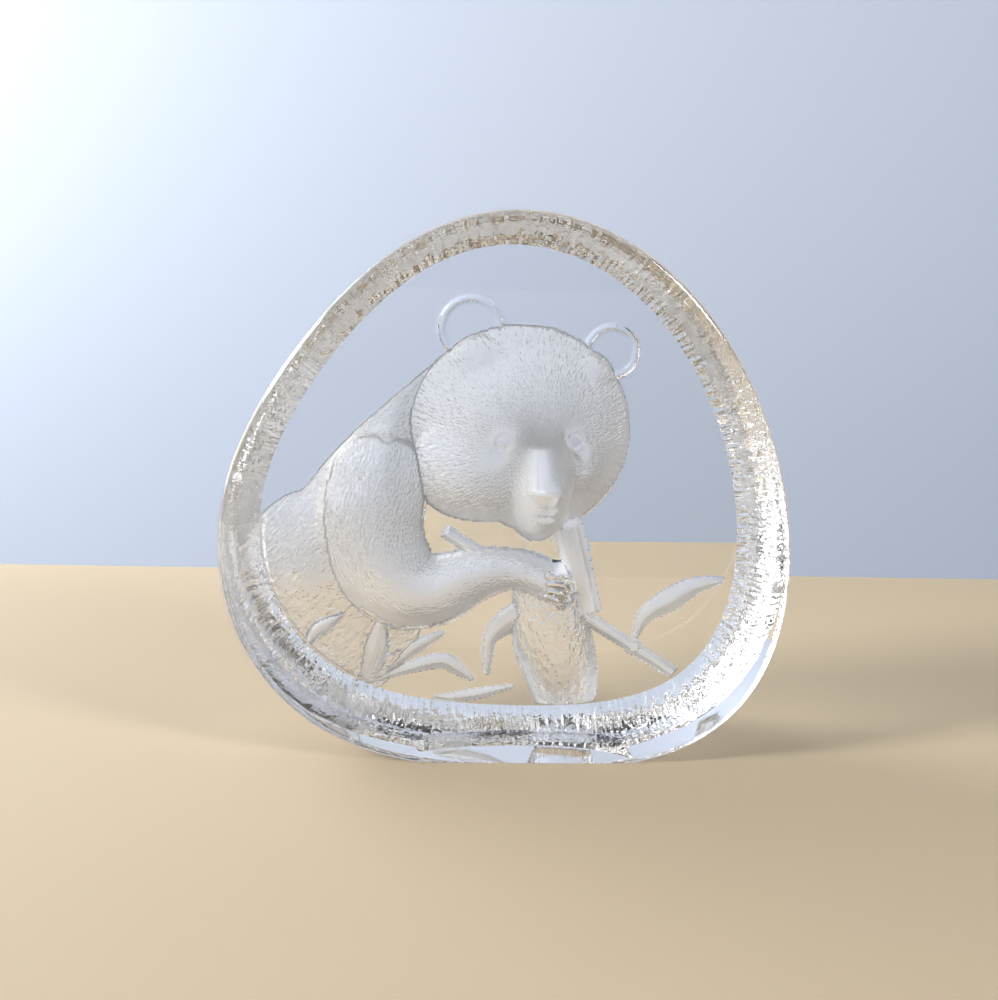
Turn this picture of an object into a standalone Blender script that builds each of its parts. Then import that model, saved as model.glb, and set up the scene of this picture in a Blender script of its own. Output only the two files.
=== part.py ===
"""A crystal paperweight: a pebble-shaped glass block with a panda pressed into its back.

The block stands on a ground flat and gets thinner towards its crown. +Z is up, the
polished front faces -Y, and the panda is hollowed out of the back, so that it shows as
a raised figure from the front.
"""

import math

import bmesh
import bpy
import numpy as np
from mathutils import Matrix, Vector

MM = 0.001

# The block
WIDTH = 140.0 * MM
HEIGHT = 135.0 * MM
DEPTH = 44.0 * MM  # at the lowest edge of the back face
CROWN_DEPTH = 25.0 * MM  # at the crown; the back face leans forward
FRONT_ROUND = 2.0 * MM  # radius of the polished edge around the front face
SIDE_DRAFT = 0.7 * MM  # how much the side narrows before the shoulder
SHOULDER_DEPTH = 16.0 * MM  # the rough shoulder behind the smooth side
SHOULDER_INSET = 7.3 * MM  # how far the shoulder draws in towards the back face
FOOT_GRIND = 2.4 * MM  # ground off the underside to make the flat
BACK_FOOT = SIDE_DRAFT + SHOULDER_INSET - FOOT_GRIND  # height of the back face's lowest edge

# The pressed figure
FIELD_MARGIN = 0.5 * MM  # plain rim of the back face that the figure stays inside
WALL_DRAFT_DEG = 8.0  # slope of the figure's walls, so that the mould can leave

# How finely the solid is faceted
OUTLINE_STEPS = 96
ROUND_STEPS = 3
SHOULDER_STEPS = 4
DOME_SEGMENTS = 32
DOME_RINGS = 12
TUBE_STEPS = 8
CAP_STEPS = 3
CLEARANCE = 3.0 * MM  # how far a cutter runs past what it cuts

# The block's outline before grinding, anticlockwise from the crown and evenly spaced
# along it: x as a share of half the width, z as a share of the height over the keel.
OUTLINE_KNOTS = {
    "crown": (-0.007, 0.998),
    "upper_left": (-0.476, 0.899),
    "left_shoulder": (-0.819, 0.692),
    "left_flank": (-0.994, 0.448),
    "lower_left": (-0.870, 0.191),
    "left_foot": (-0.457, 0.034),
    "keel": (0.056, 0.000),
    "right_foot": (0.587, 0.028),
    "lower_right": (0.949, 0.197),
    "right_flank": (0.994, 0.466),
    "right_shoulder": (0.827, 0.713),
    "upper_right": (0.486, 0.916),
}

# The figure is laid out on a canvas of this size, in canvas units. x runs from the
# middle, z up from the base and lift from the back face towards the front. The canvas
# then takes the width, height and depth of the block.
CANVAS_WIDTH, CANVAS_HEIGHT, CANVAS_DEPTH = 140.0, 135.0, 44.0

# Domes: x, z, half width, half height, turn in degrees, lift of the rim, rise over it,
# how far the top leans in x and z, and the curve: 1 for half a ball, 2 for a flat cap
DOMES = {
    "haunch": (-44.0, 36.0, 24.0, 29.0, 12.0, -0.4, 6.9, 0.0, 6.0, 1.8),
    "chest": (-8.0, 74.0, 21.0, 35.0, 0.0, -0.4, 7.9, 0.0, 0.0, 2.0),
    "skull": (3.4, 80.4, 27.8, 27.0, 0.0, 1.2, 15.0, 1.5, -2.0, 2.1),
    "left_cheek": (-8.0, 70.5, 15.6, 13.2, -12.0, 5.5, 8.7, 2.0, -1.0, 2.0),
    "right_cheek": (17.8, 74.6, 10.8, 12.6, 24.0, 1.3, 13.0, 0.0, -1.5, 2.1),
    "muzzle": (8.8, 71.0, 8.4, 16.6, 0.0, 8.5, 13.5, 2.2, -7.0, 1.5),
    "chin": (9.6, 58.8, 6.4, 4.8, 0.0, 5.0, 12.0, 0.6, -0.4, 1.4),
    "nose": (9.9, 64.8, 3.9, 2.0, 0.0, 20.6, 2.9, 0.0, 0.6, 1.0),
    "left_tuft": (-8.0, 99.4, 6.6, 4.8, 18.0, 1.6, 4.2, 0.0, 0.0, 2.0),
    "right_tuft": (22.0, 96.8, 4.4, 3.4, -40.0, 1.6, 3.8, 0.0, 0.0, 2.0),
    "left_eye": (-1.1, 78.6, 1.9, 1.9, 0.0, 13.6, 2.6, 0.0, 0.0, 1.0),
    "right_eye": (17.0, 79.3, 1.7, 1.7, 0.0, 12.6, 2.6, 0.0, 0.0, 1.0),
    "stem_node": (36.3, 22.8, 1.8, 1.8, 0.0, 1.9, 1.6, 0.0, 0.0, 1.0),
}

# Ears: a low disc of x, z, radius. Their rim stands over a shallow dish.
EARS = {"left_ear": (-9.9, 106.3, 8.3), "right_ear": (25.6, 101.4, 7.2)}
EAR_RIM_LIFT, EAR_RIM_RISE, EAR_RIM_WIDTH = 0.5, 1.0, 2.2
EAR_DISH_LIFT, EAR_DISH_DEPTH, EAR_CURVE = 1.7, 1.2, 0.5

# Limbs: stations of x, z, radius, lift of the rim, rise over it
LIMBS = {
    "back": (
        (-7.0, 87.6, 15.0, 1.0, 3.0),
        (-27.5, 68.5, 15.2, 1.0, 8.0),
        (-36.5, 56.5, 16.0, 1.0, 8.0),
        (-43.5, 46.0, 17.0, 0.5, 6.0),
    ),
    "arm": (
        (-32.0, 67.0, 12.0, 4.5, 6.5),
        (-34.0, 55.5, 12.7, 5.0, 7.5),
        (-31.5, 46.0, 12.5, 5.5, 8.0),
        (-25.5, 39.0, 10.7, 6.0, 8.0),
        (-17.5, 38.0, 9.0, 6.5, 7.5),
        (-9.5, 41.5, 7.1, 7.0, 6.0),
        (-3.3, 43.6, 5.8, 7.5, 5.0),
        (2.9, 44.0, 4.4, 8.0, 4.0),
        (8.2, 42.6, 4.0, 8.0, 4.5),
        (12.8, 40.8, 4.2, 8.0, 5.0),
    ),
    "leg": (
        (12.6, 36.0, 8.6, 2.0, 3.5),
        (14.3, 26.0, 9.9, 2.5, 4.5),
        (16.9, 17.5, 9.3, 2.5, 4.5),
        (18.6, 10.5, 8.2, 2.0, 4.0),
    ),
}
LIMB_CURVE = 1.7  # of a limb's section, as for the domes

# Canes, which are cut off square: ends of x, z, radius, lift of the rim, rise over it
CANES = {
    "stem": ((-13.2, 53.4, 1.2, 2.0, 1.2), (36.3, 22.8, 1.2, 2.0, 1.2)),
    "stem_end": ((35.6, 23.2, 1.25, 1.8, 1.2), (47.5, 15.8, 1.25, 1.8, 1.2)),
    "stub": ((-14.6, 54.2, 1.25, 5.6, 1.2), (-5.2, 48.4, 1.25, 5.6, 1.2)),
    "culm": ((16.8, 56.5, 2.8, 5.5, 2.6), (23.7, 32.8, 2.5, 5.5, 2.4)),
}

# Leaves: stations of x, z, half width, lift of the edge, lift of the rib over it
LEAVES = {
    "right_leaf": (
        (36.5, 25.6, 0.5, 0.6, 0.5),
        (38.9, 31.4, 1.9, 0.6, 1.2),
        (45.6, 36.2, 2.9, 0.6, 1.6),
        (52.0, 40.0, 2.0, 0.6, 1.2),
        (58.6, 41.6, 0.5, 0.6, 0.4),
    ),
    "middle_leaf": (
        (8.8, 34.0, 2.2, 3.5, 1.0),
        (2.6, 29.6, 2.9, 1.4, 1.6),
        (-1.8, 25.0, 1.8, 0.7, 1.2),
        (-2.5, 19.4, 1.2, 0.6, 0.9),
        (-2.3, 15.0, 0.4, 0.6, 0.4),
    ),
    "elbow_leaf": (
        (-31.0, 28.5, 1.6, 4.4, 0.9),
        (-32.0, 22.5, 3.0, 3.6, 1.4),
        (-34.2, 14.5, 2.7, 1.4, 1.0),
    ),
    "flank_leaf": (
        (-49.2, 24.0, 0.8, 5.4, 0.6),
        (-46.4, 27.8, 1.7, 6.2, 0.8),
        (-40.8, 31.6, 0.4, 6.3, 0.4),
    ),
    "fan_leaf": (
        (-32.2, 12.6, 0.4, 0.6, 0.4),
        (-24.0, 15.8, 1.3, 0.6, 1.0),
        (-14.8, 18.2, 1.9, 0.6, 1.4),
        (-10.4, 16.2, 1.6, 0.6, 1.2),
        (-6.0, 13.0, 0.3, 0.6, 0.4),
    ),
    "fan_leaf_behind": (
        (-30.2, 14.6, 0.4, 0.6, 0.4),
        (-22.0, 21.6, 1.6, 0.6, 1.0),
        (-14.6, 26.0, 0.5, 0.6, 0.4),
    ),
    "low_leaf": (
        (-15.6, 7.4, 0.7, 0.6, 0.4),
        (-5.5, 8.8, 1.3, 0.6, 1.0),
        (4.4, 11.2, 0.3, 0.6, 0.4),
    ),
}


def clear_scene():
    """Empties the scene that the script starts in."""
    for obj in list(bpy.data.objects):
        bpy.data.objects.remove(obj)


def outline(steps, inset=0.0):
    """Points of the unground outline, drawn in by inset, as an array of x and z.

    The knots are joined by the one smooth periodic curve through them, a sum of whole
    turns, which is stretched to the block's width and height.
    """
    knots = np.array([complex(x, z) for x, z in OUTLINE_KNOTS.values()])
    count = len(knots)
    turns = np.fft.fft(knots) / count
    orders = np.fft.fftfreq(count, 1.0 / count)
    turns[count // 2] = 0.0  # the highest one can't be told from its mirror image
    around = np.linspace(0.0, 2.0 * math.pi, steps, endpoint=False)
    waves = np.exp(1j * around[:, None] * orders[None, :])
    curve = waves @ turns
    slope = waves @ (1j * orders * turns)
    fine = np.exp(1j * np.linspace(0, 2 * math.pi, 2000)[:, None] * orders) @ turns
    x_low, x_high = fine.real.min(), fine.real.max()
    z_low, z_high = fine.imag.min(), fine.imag.max()
    x_scale = WIDTH / (x_high - x_low)
    z_scale = (HEIGHT + FOOT_GRIND) / (z_high - z_low)
    x = (curve.real - (x_low + x_high) / 2.0) * x_scale
    z = (curve.imag - z_low) * z_scale - FOOT_GRIND
    tangent = np.stack([slope.real * x_scale, slope.imag * z_scale], axis=1)
    tangent /= np.linalg.norm(tangent, axis=1)[:, None]
    inward = np.stack([-tangent[:, 1], tangent[:, 0]], axis=1)
    return np.stack([x, z], axis=1) + inset * inward


def side_profile():
    """Inset and y of each ring of the block, from the front face to the back face."""
    front, back = -DEPTH / 2.0, DEPTH / 2.0
    rings = []
    for step in range(ROUND_STEPS + 1):
        angle = math.pi / 2.0 * step / ROUND_STEPS
        inset = FRONT_ROUND * (1.0 - math.sin(angle))
        rings.append((inset, front + FRONT_ROUND * (1.0 - math.cos(angle))))
    for step in range(SHOULDER_STEPS + 1):
        share = step / SHOULDER_STEPS
        inset = SIDE_DRAFT + SHOULDER_INSET * share**2
        rings.append((inset, back - SHOULDER_DEPTH * (1.0 - share)))
    return rings


def object_from(name, mesh_builder):
    """A new mesh object, its faces all pointing out."""
    mesh = bpy.data.meshes.new(name)
    bm = bmesh.new()
    mesh_builder(bm)
    bmesh.ops.recalc_face_normals(bm, faces=bm.faces)
    bm.to_mesh(mesh)
    bm.free()
    return bpy.data.objects.new(name, mesh)


def loft(bm, sections):
    """Joins closed sections of equally many points, each a list of x, y, z."""
    loops = [[bm.verts.new(point) for point in section] for section in sections]
    count = len(loops[0])
    for first, second in zip(loops, loops[1:]):
        for i in range(count):
            j = (i + 1) % count
            bm.faces.new((first[i], first[j], second[j], second[i]))
    bm.faces.new(loops[0])
    bm.faces.new(loops[-1])


def thin_upwards(obj):
    """Scales the finished block's depth, evenly from the back's foot to the crown."""
    depsgraph = bpy.context.evaluated_depsgraph_get()
    cut = bpy.data.meshes.new_from_object(obj.evaluated_get(depsgraph))
    obj.modifiers.clear()
    obj.data = cut
    for vert in cut.vertices:
        climb = (vert.co.z - BACK_FOOT) / (HEIGHT - BACK_FOOT)
        share = 1.0 - (1.0 - CROWN_DEPTH / DEPTH) * climb
        vert.co.y = (vert.co.y + DEPTH / 2.0) * share - DEPTH / 2.0


def make_block():
    """The plain block: rings of the outline, drawn in along the side profile."""

    def build(bm):
        loft(
            bm,
            [
                [(x, y, z) for x, z in outline(OUTLINE_STEPS, inset)]
                for inset, y in side_profile()
            ],
        )

    return object_from("crystal_block", build)


def make_foot_cutter():
    """The slab that the grinding takes off the underside."""
    bpy.ops.mesh.primitive_cube_add(size=1.0)
    slab = bpy.context.active_object
    slab.name = "foot_cutter"
    thickness = FOOT_GRIND + CLEARANCE
    slab.data.transform(
        Matrix.Translation((0.0, 0.0, -thickness / 2.0))
        @ Matrix.Diagonal((WIDTH, DEPTH + 2.0 * CLEARANCE, thickness, 1.0))
    )
    return slab


def make_field():
    """The prism over the back face that the figure stays inside."""
    inset = SIDE_DRAFT + SHOULDER_INSET + FIELD_MARGIN
    ring = outline(OUTLINE_STEPS, inset)

    def build(bm):
        loft(
            bm,
            [
                [(x, y, z) for x, z in ring]
                for y in (-DEPTH / 2.0, DEPTH / 2.0 + CLEARANCE)
            ],
        )

    return object_from("field", build)


def on_block(x, lift, z):
    """A canvas place as a point of the block; lift is taken from the back face."""
    return (
        x * WIDTH / CANVAS_WIDTH,
        DEPTH / 2.0 - lift * DEPTH / CANVAS_DEPTH,
        z * HEIGHT / CANVAS_HEIGHT,
    )


def wall_spread(lift):
    """How much wider a wall is where it leaves the back than at this lift."""
    return (lift + behind()) * math.tan(math.radians(WALL_DRAFT_DEG))


def behind():
    """How far a cutter runs out past the back face, in canvas units."""
    return CLEARANCE / DEPTH * CANVAS_DEPTH


def make_dome(
    name, x, z, half_width, half_height, turn, rim_lift, rise, lean_x, lean_z, curve
):
    """A stretched, turned and leaning cap, over a wall that runs out of the back."""

    def build(bm):
        bmesh.ops.create_uvsphere(
            bm, u_segments=DOME_SEGMENTS, v_segments=DOME_RINGS, radius=1.0
        )
        low = [v for v in bm.verts if v.co.z < -1e-6]
        bmesh.ops.delete(bm, geom=low, context="VERTS")
        rim = [edge for edge in bm.edges if edge.is_boundary]
        skirt = bmesh.ops.extrude_edge_only(bm, edges=rim)["geom"]
        floor = [item for item in skirt if isinstance(item, bmesh.types.BMVert)]
        bmesh.ops.contextual_create(
            bm, geom=[e for e in skirt if isinstance(e, bmesh.types.BMEdge)]
        )
        spread = wall_spread(rim_lift)
        turned = Matrix.Rotation(math.radians(turn), 2)
        for vert in bm.verts:
            wide = spread if vert in floor else 0.0
            level = 0.0 if vert in floor else max(vert.co.z, 0.0) ** curve
            lift = -behind() if vert in floor else rim_lift + rise * level
            flat = Vector(
                (vert.co.x * (half_width + wide), vert.co.y * (half_height + wide))
            )
            flat = turned @ flat
            vert.co = on_block(
                x + flat.x + lean_x * level, lift, z + flat.y + lean_z * level
            )

    return object_from(name, build)


def make_dish(name, x, z, half_width, brim_lift, depth):
    """A flattened ball, which is sunk into an ear up to its middle."""

    def build(bm):
        bmesh.ops.create_uvsphere(
            bm, u_segments=DOME_SEGMENTS, v_segments=DOME_RINGS, radius=1.0
        )
        for vert in bm.verts:
            side, up, out = vert.co
            vert.co = on_block(
                x + side * half_width, brim_lift + out * depth, z + up * half_width
            )

    return object_from(name, build)


def make_ear(name, x, z, radius):
    """A disc and the dish that is taken out of it."""
    disc = make_dome(
        name, x, z, radius, radius, 0.0, EAR_RIM_LIFT, EAR_RIM_RISE, 0.0, 0.0, EAR_CURVE
    )
    dish = make_dish(
        f"{name}_dish", x, z, radius - EAR_RIM_WIDTH, EAR_DISH_LIFT, EAR_DISH_DEPTH
    )
    return disc, dish


def headings(stations):
    """The unit vectors across and along the path at each station."""
    path = np.array([station[:2] for station in stations])
    along = np.gradient(path, axis=0)
    along /= np.linalg.norm(along, axis=1)[:, None]
    return np.stack([along[:, 1], -along[:, 0]], axis=1), along


def tube_section(place, across, radius, rim_lift, rise, curve=1.0):
    """A round-topped section that widens down its walls and runs out of the back."""
    spread = wall_spread(rim_lift)
    flat = [(radius + spread, -behind())]
    for step in range(TUBE_STEPS + 1):
        angle = math.pi * step / TUBE_STEPS
        top = max(math.sin(angle), 0.0) ** curve
        flat.append((radius * math.cos(angle), rim_lift + rise * top))
    flat.append((-radius - spread, -behind()))
    return [
        on_block(place[0] + across[0] * side, lift, place[1] + across[1] * side)
        for side, lift in flat
    ]


def smooth_stations(stations, pieces=3):
    """Stations between the given ones, on a smooth curve through them all."""
    table = np.array(stations)
    count = len(table)
    if count < 3:
        return table
    padded = np.vstack([2 * table[0] - table[1], table, 2 * table[-1] - table[-2]])
    rows = []
    for i in range(count - 1):
        p0, p1, p2, p3 = padded[i : i + 4]
        for t in np.arange(pieces) / pieces:
            rows.append(
                0.5
                * (
                    2 * p1
                    + (p2 - p0) * t
                    + (2 * p0 - 5 * p1 + 4 * p2 - p3) * t**2
                    + (3 * p1 - p0 - 3 * p2 + p3) * t**3
                )
            )
    rows.append(table[-1])
    return np.array(rows)


def make_limb(name, stations):
    """A tube along its stations, thick and thin as they say, with round ends."""
    rows = smooth_stations(stations, 2)
    across, along = headings(rows)
    sections = []

    def cap(index, way, order):
        x, z, radius, rim_lift, rise = rows[index]
        for step in order:
            angle = math.pi / 2.0 * step / CAP_STEPS
            reach = radius * math.sin(angle) * way
            place = (x + along[index][0] * reach, z + along[index][1] * reach)
            shrink = max(math.cos(angle), 0.12)
            top = rise * shrink**LIMB_CURVE
            sections.append(
                tube_section(
                    place, across[index], radius * shrink, rim_lift, top, LIMB_CURVE
                )
            )

    cap(0, -1.0, range(CAP_STEPS, 0, -1))
    for row, side in zip(rows, across):
        sections.append(tube_section(row[:2], side, *row[2:], LIMB_CURVE))
    cap(len(rows) - 1, 1.0, range(1, CAP_STEPS + 1))
    return object_from(name, lambda bm: loft(bm, sections))


def make_cane(name, stations):
    """A straight tube, cut off square at both ends."""
    across, _ = headings(stations)
    sections = [
        tube_section(row[:2], side, *row[2:]) for row, side in zip(stations, across)
    ]
    return object_from(name, lambda bm: loft(bm, sections))


def make_leaf(name, stations):
    """A leaf with a raised rib and a wall around it, along its stations."""
    rows = smooth_stations(stations, 2)
    across, _ = headings(rows)
    sections = []
    for (x, z, half_width, edge, rib), side in zip(rows, across):
        spread = wall_spread(edge) * 0.5
        flat = [
            (half_width + spread, -behind()),
            (half_width, edge),
            (0.0, edge + rib),
            (-half_width, edge),
            (-half_width - spread, -behind()),
        ]
        sections.append(
            [on_block(x + side[0] * w, lift, z + side[1] * w) for w, lift in flat]
        )
    return object_from(name, lambda bm: loft(bm, sections))


def make_figure_cutters():
    """Every form of the figure, each a closed cutter."""
    cutters = [make_limb(name, stations) for name, stations in LIMBS.items()]
    cutters += [make_dome(name, *sizes) for name, sizes in DOMES.items()]
    cutters += [make_cane(name, stations) for name, stations in CANES.items()]
    cutters += [make_leaf(name, stations) for name, stations in LEAVES.items()]
    return cutters


def add_boolean(obj, other, operation):
    """A Boolean on obj with another object."""
    modifier = obj.modifiers.new(f"{operation.lower()}_{other.name}", "BOOLEAN")
    modifier.operation = operation
    modifier.object = other
    modifier.solver = "EXACT"
    modifier.use_self = True


def glass():
    """Clear crystal."""
    material = bpy.data.materials.new("crystal")
    material.use_nodes = True
    shader = material.node_tree.nodes["Principled BSDF"]
    shader.inputs["Base Color"].default_value = (0.96, 0.98, 1.0, 1.0)
    shader.inputs["Roughness"].default_value = 0.04
    shader.inputs["Metallic"].default_value = 0.0
    shader.inputs["IOR"].default_value = 1.54
    shader.inputs["Transmission Weight"].default_value = 1.0
    return material


def main():
    """Builds the paperweight."""
    clear_scene()
    parts = bpy.data.collections.new("panda_paperweight")
    cutting = bpy.data.collections.new("cutters")
    bpy.context.scene.collection.children.link(parts)
    bpy.context.scene.collection.children.link(cutting)

    block = make_block()
    parts.objects.link(block)
    foot = make_foot_cutter()
    for collection in list(foot.users_collection):
        collection.objects.unlink(foot)
    field = make_field()
    forms = make_figure_cutters()
    ears = [make_ear(name, *sizes) for name, sizes in EARS.items()]
    for helper in [foot, field, *forms, *(piece for ear in ears for piece in ear)]:
        cutting.objects.link(helper)
        helper.hide_render = True
        helper.display_type = "WIRE"

    figure = forms[0]
    for form in forms[1:]:
        add_boolean(figure, form, "UNION")
    for disc, dish in ears:
        add_boolean(disc, dish, "DIFFERENCE")
        add_boolean(figure, disc, "UNION")
    add_boolean(figure, field, "INTERSECT")
    add_boolean(block, foot, "DIFFERENCE")
    add_boolean(block, figure, "DIFFERENCE")
    thin_upwards(block)
    block.data.materials.append(glass())


main()
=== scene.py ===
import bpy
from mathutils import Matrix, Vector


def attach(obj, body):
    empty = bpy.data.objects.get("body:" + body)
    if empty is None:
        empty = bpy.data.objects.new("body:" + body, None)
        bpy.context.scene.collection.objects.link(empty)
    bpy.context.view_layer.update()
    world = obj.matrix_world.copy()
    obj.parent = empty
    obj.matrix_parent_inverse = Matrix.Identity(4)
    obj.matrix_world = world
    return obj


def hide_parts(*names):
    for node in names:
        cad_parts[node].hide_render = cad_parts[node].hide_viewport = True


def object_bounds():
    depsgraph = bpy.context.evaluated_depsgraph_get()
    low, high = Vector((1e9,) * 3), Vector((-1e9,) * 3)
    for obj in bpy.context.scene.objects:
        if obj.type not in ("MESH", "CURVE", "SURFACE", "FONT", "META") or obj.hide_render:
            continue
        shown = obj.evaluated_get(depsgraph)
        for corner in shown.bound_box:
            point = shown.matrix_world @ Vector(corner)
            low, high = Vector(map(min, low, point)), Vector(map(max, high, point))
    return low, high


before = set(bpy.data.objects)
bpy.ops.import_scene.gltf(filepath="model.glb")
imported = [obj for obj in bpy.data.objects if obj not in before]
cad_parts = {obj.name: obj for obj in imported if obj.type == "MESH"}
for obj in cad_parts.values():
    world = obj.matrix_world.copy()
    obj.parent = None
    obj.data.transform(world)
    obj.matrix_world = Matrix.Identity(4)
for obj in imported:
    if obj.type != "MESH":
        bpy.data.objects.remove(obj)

"""A pressed crystal block with a panda eating bamboo, on a pale table before a pale wall.

The block is one closed surface. Its back is a fine grid that carries the hollowed figure,
and rings of points run from there over the rough shoulder, the polished side and the
rounded edge to the flat front.
"""
import logging
import math
from dataclasses import dataclass, field
from enum import Enum, IntEnum

import bpy
import numpy as np
from mathutils import Matrix, Vector

LOG = logging.getLogger("crystal_panda")
CAD_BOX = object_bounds()
NODE = "crystal_block"
BODY = "root"


class Finish(IntEnum):
    """The block's finishes, in the order of its material slots."""

    POLISHED = 0
    SHOULDER = 1
    FUR = 2
    LEAF = 3
    HIDE = 4


class Profile(Enum):
    """How a strand's top rises from its edges to its middle."""

    ROUND = "round"
    RIDGE = "ridge"


# Shapes as functions of a place on the canvas


def smooth_step(value: np.ndarray, low: float, high: float) -> np.ndarray:
    """Goes from 0 at low to 1 at high as 3 t squared less 2 t cubed.

    Args:
        value: what is eased.
        low: where the step starts.
        high: where it ends, which may be below low for a falling step.

    Returns:
        The eased values.
    """
    share = np.clip((value - low) / (high - low), 0.0, 1.0)
    return share * share * (3.0 - 2.0 * share)


def soft_max(first: np.ndarray, second: np.ndarray, reach: float) -> np.ndarray:
    """The greater of two heights, with the crease between them filled by a fillet.

    Where the heights differ by less than reach, a quarter of the reach times the square
    of the closeness is added.

    Args:
        first: one height.
        second: the other.
        reach: how near the heights must be for the fillet to start.

    Returns:
        The blended height.
    """
    near = np.clip(1.0 - np.abs(first - second) / reach, 0.0, 1.0)
    return np.maximum(first, second) + near * near * reach / 4.0


def lattice_noise(x: np.ndarray, y: np.ndarray, seed: int, wrap: int = 256) -> np.ndarray:
    """Random heights on a square lattice of unit cells, eased between its corners.

    Args:
        x: place along the lattice's first axis, in cells; it repeats after wrap cells.
        y: place along the second axis.
        seed: picks the heights.
        wrap: how many cells there are before the pattern repeats.

    Returns:
        Heights from -1 to 1.
    """
    table = np.random.default_rng(seed).uniform(-1.0, 1.0, (wrap, 256))
    column, row = np.floor(x).astype(int), np.floor(y).astype(int)
    across, along = smooth_step(x - column, 0.0, 1.0), smooth_step(y - row, 0.0, 1.0)
    low_low = table[column % wrap, row % 256]
    high_low = table[(column + 1) % wrap, row % 256]
    low_high = table[column % wrap, (row + 1) % 256]
    high_high = table[(column + 1) % wrap, (row + 1) % 256]
    near = low_low + (high_low - low_low) * across
    far = low_high + (high_high - low_high) * across
    return near + (far - near) * along


@dataclass(frozen=True)
class Trace:
    """A form's height over the canvas, with the hair's own two coordinates on it.

    On a strand the radius is the distance from its path as a share of its half width.
    """

    lift: np.ndarray
    along: np.ndarray
    across: np.ndarray
    radius: np.ndarray | None = None


WALL_SLOPE = math.tan(math.radians(9.0))


def over_wall(inside: np.ndarray, rim: float | np.ndarray, beyond: np.ndarray) -> np.ndarray:
    """A form's top where the place is within it, and its sloping wall outside.

    Args:
        inside: height of the top.
        rim: height at which the wall starts.
        beyond: distance outside the form, negative within it.

    Returns:
        The height of top and wall together.
    """
    return np.where(beyond < 0.0, inside, rim - beyond / WALL_SLOPE)


@dataclass(frozen=True)
class Dome:
    """A cap or half ball, stretched, turned and leaning, over a steep wall."""

    x: float
    z: float
    half_width: float
    half_height: float
    turn: float
    rim: float
    rise: float
    lean: tuple[float, float] = (0.0, 0.0)
    power: float = 1.0

    def lift(self, x: np.ndarray, z: np.ndarray) -> np.ndarray:
        """Height of the dome: its rim plus its rise times 1 - r squared to a power.

        A power of a half makes half a ball, and a power of one a flat cap.

        The middle of each level is shifted by the lean times the level's share of the
        rise, so r and the height depend on each other and are settled by repetition.

        Args:
            x: places along the canvas.
            z: places up the canvas.

        Returns:
            The height at each place.
        """
        turn = math.radians(self.turn)
        level = np.zeros_like(x)
        for _ in range(10):
            side = x - self.x - self.lean[0] * level
            up = z - self.z - self.lean[1] * level
            wide = (side * math.cos(turn) + up * math.sin(turn)) / self.half_width
            high = (up * math.cos(turn) - side * math.sin(turn)) / self.half_height
            radius = np.hypot(wide, high)
            level = 0.4 * level + 0.6 * np.clip(1.0 - radius**2, 0.0, 1.0) ** self.power
        beyond = (radius - 1.0) * min(self.half_width, self.half_height)
        return over_wall(self.rim + self.rise * level, self.rim, beyond)


def smooth_stations(stations: tuple[tuple[float, ...], ...], pieces: int) -> np.ndarray:
    """More stations between the given ones, on the cubic curve through them all.

    Args:
        stations: rows of numbers.
        pieces: how many steps there are from one to the next.

    Returns:
        The rows, one more than pieces times the gaps.
    """
    table = np.array(stations)
    if len(table) < 3:
        return table
    ends = 2 * table[0] - table[1], 2 * table[-1] - table[-2]
    padded = np.vstack([ends[0], table, ends[1]])
    before, first, second, after = (padded[i : len(padded) - 3 + i, None] for i in range(4))
    share = (np.arange(pieces) / pieces)[None, :, None]
    rows = 0.5 * (
        2 * first
        + (second - before) * share
        + (2 * before - 5 * first + 4 * second - after) * share**2
        + (3 * first - before - 3 * second + after) * share**3
    )
    return np.vstack([rows.reshape(-1, table.shape[1]), table[-1]])


@dataclass(frozen=True)
class Strand:
    """A form along a path: a round limb, a cane cut off square, or a ribbed leaf.

    Stations are rows of x, z, half width, lift of the edge and rise over it.
    """

    stations: tuple[tuple[float, ...], ...]
    profile: Profile = Profile.ROUND
    square_ends: bool = False
    power: float = 0.5

    def trace(self, x: np.ndarray, z: np.ndarray) -> Trace:
        """Height of the form, taken from the highest of its short straight stretches.

        A round profile rises by 1 - r squared to a power, r being the distance from
        the path as a share of the half width; a leaf rises by 1 - r, to a ridge.

        Args:
            x: places along the canvas.
            z: places up the canvas.

        Returns:
            The height, the distance along the path and the signed distance across it.
        """
        rows = smooth_stations(self.stations, 6)
        lift = np.full_like(x, -1e3)
        along, across, far = np.zeros_like(x), np.zeros_like(x), np.zeros_like(x)
        gone = 0.0
        for start, end in zip(rows, rows[1:]):
            run = end[:2] - start[:2]
            length = float(np.hypot(*run))
            step = run / length
            side, up = x - start[0], z - start[1]
            forward = side * step[0] + up * step[1]
            share = np.clip(forward / length, 0.0, 1.0)
            offset = side * step[1] - up * step[0]
            width, edge, rise = (start[i] + (end[i] - start[i]) * share for i in (2, 3, 4))
            past = forward - share * length
            away = np.abs(offset) if self.square_ends else np.hypot(offset, past)
            radius = away / width
            shape = np.clip(1.0 - radius**2, 0.0, 1.0) ** self.power
            if self.profile is Profile.RIDGE:
                shape = np.clip(1.0 - radius, 0.0, 1.0)
            beyond = away - width
            if self.square_ends:
                beyond = np.maximum(beyond, np.abs(past) - 0.01)
            height = over_wall(edge + rise * shape, edge, beyond)
            better = height > lift
            lift = np.where(better, height, lift)
            along = np.where(better, gone + forward, along)
            across = np.where(better, offset, across)
            far = np.where(better, radius, far)
            gone += length
        return Trace(lift, along, across, far)


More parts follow.
